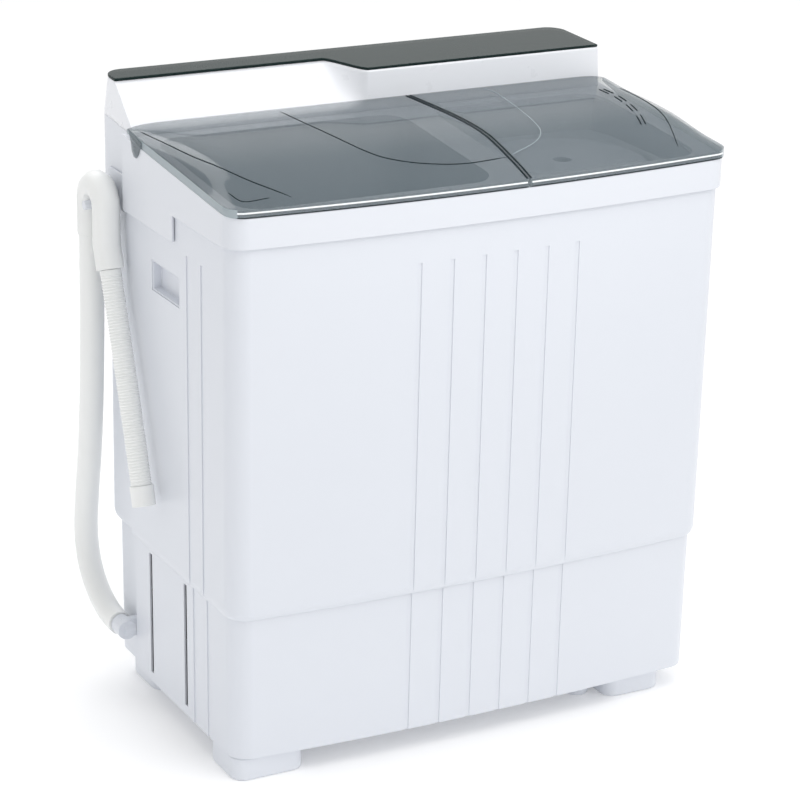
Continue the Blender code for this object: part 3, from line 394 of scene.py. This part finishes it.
def tube(name, path, radius_at, sides=24, caps=True):
    """A mesh tube along a path, with a radius at each point."""
    bm = bmesh.new()
    rings = []
    side = None
    for i, p in enumerate(path):
        ahead = path[min(i + 1, len(path) - 1)] - path[max(i - 1, 0)]
        ahead.normalize()
        if side is None:
            side = ahead.orthogonal().normalized()
        side = (side - ahead * side.dot(ahead)).normalized()
        other = ahead.cross(side)
        r = radius_at(i / (len(path) - 1))
        rings.append([bm.verts.new(p + r * (math.cos(a) * side + math.sin(a) * other))
                      for a in (2 * math.pi * k / sides for k in range(sides))])
    for a, b in zip(rings, rings[1:]):
        for k in range(sides):
            m = (k + 1) % sides
            bm.faces.new((a[k], a[m], b[m], b[k]))
    if caps:
        bm.faces.new(list(reversed(rings[0])))
        bm.faces.new(rings[-1])
    bmesh.ops.recalc_face_normals(bm, faces=bm.faces)
    mesh = bpy.data.meshes.new(name)
    bm.to_mesh(mesh)
    bm.free()
    smooth(mesh, 50.0)
    return bpy.data.objects.new(name, mesh)


def bead(name, knots, body, mat, width=0.0006, lift=0.0001, count=60):
    """A fine raised line that follows the lid's surface; it carries painted shade lines and one painted
    highlight.
    """
    flat = curve_through([(x, y, 0) for x, y in knots], count)
    path = [Vector((p.x, p.y, lid_z(p.x, p.y) + lift)) for p in flat]
    ob = tube(name, path, lambda t: width * min(1.0, 0.35 + 12 * t, 0.35 + 12 * (1 - t)), 8)
    ob.data.materials.append(mat)
    return link(ob, body=body)


make_lid("wash_lid", SPLIT_X - 0.0008)
make_lid("spin_lid", SPLIT_X + 0.0008)
# The dark arcs and the corner mark are painted shade of the lids' embossed grooves.
bead("wash_lid_arc_left",
     [(-0.306, 0.073), (-0.302, 0.027), (-0.294, -0.063), (-0.274, -0.121), (-0.237, -0.171)],
     "wash_lid", SHADE_LINE)
bead("wash_lid_arc_main",
     [(-0.130, 0.080), (-0.129, -0.002), (-0.122, -0.072), (-0.109, -0.109), (-0.086, -0.130),
      (-0.053, -0.144), (-0.014, -0.151), (0.039, -0.148)],
     "wash_lid", SHADE_LINE)
# The spin lid's main arc is drawn in the lighter edge copy: a painted highlight along the arc.
bead("spin_lid_arc_main",
     [(0.045, -0.145), (0.084, -0.1265), (0.104, -0.1085), (0.113, -0.085), (0.124, -0.028),
      (0.141, 0.056), (0.140, 0.086)],
     "spin_lid", EDGE_PAINTED_LIGHT)
bead("spin_lid_arc_right",
     [(0.292, 0.023), (0.284, -0.0475), (0.273, -0.108), (0.252, -0.1655)],
     "spin_lid", SHADE_LINE)
bead("wash_lid_corner_mark",
     [(-0.2985, -0.144), (-0.291, -0.166), (-0.261, -0.167)],
     "wash_lid", SHADE_LINE, 0.0005)


def dashes(name, knots, offset, count=4):
    """A short row of vent dashes side by side, drawn near-black as painted shade inside the vent slots."""
    path = curve_through([(x + offset, y, 0) for x, y in knots], 6 * count)
    for i in range(count):
        part = path[6 * i:6 * i + 5]
        bead(f"{name}_{i + 1}", [(p.x, p.y) for p in part], "spin_lid", SHADE_LINE, 0.0008, 0.0001, 12)


VENT = [(0.267, 0.021), (0.264, -0.0205), (0.253, -0.075), (0.2395, -0.119)]
dashes("vent_outer", VENT, 0.0)
dashes("vent_inner", VENT, -0.006)


def rail(name, x, body):
    """A dark line along the split between the lids: painted shade of the gap between them."""
    ys = [LID_BACK - 0.002 + (front_at(x) + 0.002 - LID_BACK + 0.002) * i / 40 for i in range(41)]
    path = [Vector((x, y, lid_z(x, y) - 0.0004)) for y in ys]
    ob = tube(name, path, lambda t: 0.0011, 8)
    ob.data.materials.append(SHADE_LINE)
    return link(ob, body=body)


rail("wash_lid_split_shade", SPLIT_X - 0.0024, "wash_lid")
rail("spin_lid_split_shade", SPLIT_X + 0.0026, "spin_lid")


def lip_line(name, body, x0, x1, mat, height, out, width):
    """A fine line along a lid's front lip, from the split to the corner; it carries the lips' painted
    highlights and painted shade lines.
    """
    xs = [x0 + (x1 - x0) * i / 60 for i in range(61)]
    path = [Vector((x, front_at(x) - out, skirt_z(front_at(x)) + height)) for x in xs]
    ob = tube(name, path, lambda t: width, 8)
    ob.data.materials.append(mat)
    return link(ob, body=body)


LIP_TOP = 0.0056
# Near-white glint lines: painted highlights along the lids' front lips.
lip_line("wash_lid_lip_glint", "wash_lid", SPLIT_X - 0.003, -0.3040, GLINT, LIP_TOP, 0.0, 0.0010)
lip_line("spin_lid_lip_glint", "spin_lid", SPLIT_X + 0.003, 0.3040, GLINT, LIP_TOP, 0.0, 0.0010)
# Dark foot lines: painted shade where the lips meet the frame.
lip_line("wash_lid_lip_foot", "wash_lid", SPLIT_X - 0.003, -0.3040, SHADE_LINE, 0.0006, 0.0, 0.0005)
lip_line("spin_lid_lip_foot", "spin_lid", SPLIT_X + 0.003, 0.3040, SHADE_LINE, 0.0006, 0.0, 0.0005)


def make_ear():
    """The wash lid's hooked ear, which hangs over the frame's side by the hinge."""
    x0, x1 = -0.3153, -0.3139
    outline = [(0.086, 0.7000), (0.050, 0.6930), (0.050, 0.6855), (0.0545, 0.6835), (0.0580, 0.6770),
               (0.0640, 0.6715), (0.0710, 0.6715), (0.0760, 0.6770), (0.0790, 0.6880)]
    bm = bmesh.new()
    a = [bm.verts.new((x0, y, z)) for y, z in outline]
    b = [bm.verts.new((x1, y, z)) for y, z in outline]
    bm.faces.new(a)
    bm.faces.new(list(reversed(b)))
    for i in range(len(a)):
        j = (i + 1) % len(a)
        bm.faces.new((a[j], a[i], b[i], b[j]))
    bmesh.ops.recalc_face_normals(bm, faces=bm.faces)
    mesh = bpy.data.meshes.new("wash_lid_ear")
    bm.to_mesh(mesh)
    bm.free()
    smooth(mesh)
    mesh.materials.append(SMOKE)
    ob = bpy.data.objects.new("wash_lid_ear", mesh)
    edge = ob.modifiers.new("edge", "BEVEL")
    edge.width = 0.0004
    edge.segments = 2
    return link(ob, body="wash_lid")


make_ear()


# ---- console ----------------------------------------------------------------------------------
BACK = 0.1927
CONSOLE_Y = 0.0944
CONSOLE_Z = 0.7424
CONSOLE_SLOPE = 0.0290
LEFT_TOP_Y = 0.1530
SWEEP_X = (-0.042, -0.009)
FOOT_HALF = 0.3100 - 0.008 + 0.0036
TOP_HALF = FOOT_HALF - 0.003
COVER_T = 0.0030


def console_front(x):
    """The front face's top edge, which steps forward in an S from left to right."""
    share = min(1.0, max(0.0, (x - SWEEP_X[0]) / (SWEEP_X[1] - SWEEP_X[0])))
    share = share * share * (3 - 2 * share)
    return LEFT_TOP_Y + (CONSOLE_Y - LEFT_TOP_Y) * share


def console_top(y):
    return CONSOLE_Z - CONSOLE_SLOPE * (BACK - y)


def console_loop(half, back, front, radius):
    """Points round the console: its front from left to right, then the rounded back corners."""
    xs = [-half + (SWEEP_X[0] + half) * i / 10 for i in range(10)]
    xs += [SWEEP_X[0] + (SWEEP_X[1] - SWEEP_X[0]) * i / 32 for i in range(33)]
    xs += [SWEEP_X[1] + (half - SWEEP_X[1]) * i / 10 for i in range(1, 11)]
    loop = [(x, front(x)) for x in xs]
    for centre, start in ((half - radius, 0), (radius - half, 90)):
        for i in range(11):
            a = math.radians(start + 9 * i)
            loop.append((centre + radius * math.cos(a), back - radius + radius * math.sin(a)))
    return loop


def make_console():
    foot = console_loop(FOOT_HALF, BACK, lambda x: CONSOLE_Y, 0.0185)
    top = console_loop(TOP_HALF, BACK - 0.001, console_front, 0.022)
    rings = [[Vector((x, y, ledge(y) + 0.0003)) for x, y in foot]]
    low = [Vector((x, y, ledge(y) + 0.0048)) for x, y in foot]
    high = [Vector((x, y, console_top(y) - COVER_T - 0.0003)) for x, y in top]
    for i in range(17):
        rings.append([a.lerp(b, i / 16) for a, b in zip(low, high)])
    bm = bmesh.new()
    rows = [[bm.verts.new(p) for p in ring] for ring in rings]
    for a, b in zip(rows, rows[1:]):
        for k in range(len(a)):
            m = (k + 1) % len(a)
            bm.faces.new((a[k], a[m], b[m], b[k]))
    bmesh.ops.recalc_face_normals(bm, faces=bm.faces)
    mesh = bpy.data.meshes.new("console_housing_finished")
    bm.to_mesh(mesh)
    bm.free()
    # The console wears the brighter copy of the white plastic: painted light.
    mesh.materials.append(CONSOLE_PAINTED_LIGHT)
    smooth(mesh, 45.0)
    ob = bpy.data.objects.new("console_housing_finished", mesh)
    wall = ob.modifiers.new("wall", "SOLIDIFY")
    wall.thickness = 0.0025
    wall.offset = -1.0
    link(ob, "console_housing")

    bm = bmesh.new()
    under = [bm.verts.new((x, y, console_top(y) - COVER_T)) for x, y in top]
    over = [bm.verts.new((x, y, console_top(y))) for x, y in top]
    bm.faces.new(list(reversed(under)))
    bm.faces.new(over)
    for k in range(len(top)):
        m = (k + 1) % len(top)
        bm.faces.new((under[k], under[m], over[m], over[k]))
    bmesh.ops.recalc_face_normals(bm, faces=bm.faces)
    mesh = bpy.data.meshes.new("control_cover_finished")
    bm.to_mesh(mesh)
    bm.free()
    mesh.materials.append(COVER)
    smooth(mesh, 30.0)
    ob = bpy.data.objects.new("control_cover_finished", mesh)
    edge = ob.modifiers.new("edge", "BEVEL")
    edge.width = 0.0008
    edge.segments = 2
    edge.limit_method = "ANGLE"
    edge.angle_limit = math.radians(50)
    link(ob, "control_cover")


make_console()


# ---- drain hose -------------------------------------------------------------------------------
OUTLET = (-0.3130, 0.1353, 0.0765)
LOWER_ROUTE = [
    OUTLET, (-0.3130, 0.1510, 0.0765), (-0.3145, 0.1680, 0.0812), (-0.3165, 0.1900, 0.0942),
    (-0.3180, 0.2100, 0.1155), (-0.3185, 0.2220, 0.1410), (-0.3188, 0.2252, 0.1720), (-0.3192, 0.2195, 0.2120),
    (-0.3210, 0.2040, 0.2720), (-0.3240, 0.1880, 0.3390), (-0.3270, 0.1755, 0.4060), (-0.3290, 0.1675, 0.4780),
    (-0.3299, 0.1643, 0.5300), (-0.3300, 0.1640, 0.5597),
]
UPPER_ROUTE = [
    (-0.3300, 0.1075, 0.5312), (-0.3300, 0.1026, 0.5177), (-0.3300, 0.0941, 0.4942), (-0.3300, 0.0838, 0.4660),
    (-0.3300, 0.0701, 0.4284), (-0.3300, 0.0567, 0.3908), (-0.3300, 0.0434, 0.3531), (-0.3300, 0.0336, 0.3248),
    (-0.3300, 0.0243, 0.2977),
]


def path_length(path):
    return sum((b - a).length for a, b in zip(path, path[1:]))


def make_hoses():
    lower = curve_through(LOWER_ROUTE, 160)
    ob = tube("lower_hose", lower, lambda t: 0.0145, 28)
    ob.data.materials.append(HOSE)
    link(ob, "drain_hose_lower")
    upper = curve_through(UPPER_ROUTE, 4 * 72 + 1)
    length = path_length(upper)

    def ribbed(t):
        along = t * length
        if along < 0.006:
            return 0.0125
        return 0.01205 + 0.00050 * math.cos(2 * math.pi * t * 72)
    ob = tube("upper_hose", upper, ribbed, 28)
    ob.data.materials.append(HOSE)
    link(ob, "drain_hose_upper")


make_hoses()


# ---- floor, light -----------------------------------------------------------------------------
def make_stage():
    bm = bmesh.new()
    bmesh.ops.create_grid(bm, x_segments=1, y_segments=1, size=30.0)
    mesh = bpy.data.meshes.new("floor")
    bm.to_mesh(mesh)
    bm.free()
    floor = bpy.data.objects.new("floor", mesh)
    floor.location.z = -0.0002
    bpy.context.scene.collection.objects.link(floor)
    mat = bpy.data.materials.new("floor_paper")
    mat.use_nodes = True
    shader = shader_of(mat)
    shader.inputs["Base Color"].default_value = (0.93, 0.93, 0.935, 1)
    shader.inputs["Roughness"].default_value = 0.85
    shader.inputs["Emission Color"].default_value = (1, 1, 1, 1)
    shader.inputs["Emission Strength"].default_value = 0.145
    mesh.materials.append(mat)

    world = bpy.data.worlds.new("studio")
    bpy.context.scene.world = world
    world.use_nodes = True
    nodes, links = world.node_tree.nodes, world.node_tree.links
    sky = nodes["Background"]
    place = nodes.new("ShaderNodeTexCoord")
    split = nodes.new("ShaderNodeSeparateXYZ")
    ramp = nodes.new("ShaderNodeMapRange")
    ramp.inputs["From Min"].default_value = -0.9
    ramp.inputs["From Max"].default_value = 0.1
    ramp.inputs["To Min"].default_value = 0.67
    ramp.inputs["To Max"].default_value = 1.0
    links.new(place.outputs["Generated"], split.inputs["Vector"])
    links.new(split.outputs["X"], ramp.inputs["Value"])
    links.new(ramp.outputs["Result"], sky.inputs["Strength"])
    sky.inputs["Color"].default_value = (1.0, 1.0, 1.0, 1)

    for name, at, size, power, aim in (
            ("key", (0.9, -2.2, 2.6), 1.6, 2.5, (0, 0, 0.5)),
            ("top_fill", (0.1, -0.55, 1.50), 0.9, 4.6, (0.05, 0.1, 0.7)),
            ("back_strip", (-0.2, 1.6, 2.0), 1.0, 10.0, (0, 0, 0.7))):
        data = bpy.data.lights.new(name, "AREA")
        data.size = size
        data.energy = power
        lamp = bpy.data.objects.new(name, data)
        lamp.location = at
        lamp.rotation_mode = "QUATERNION"
        lamp.rotation_quaternion = (Vector(at) - Vector(aim)).to_track_quat("Z", "Y")
        bpy.context.scene.collection.objects.link(lamp)
    bpy.context.scene.view_settings.view_transform = "Standard"


make_stage()
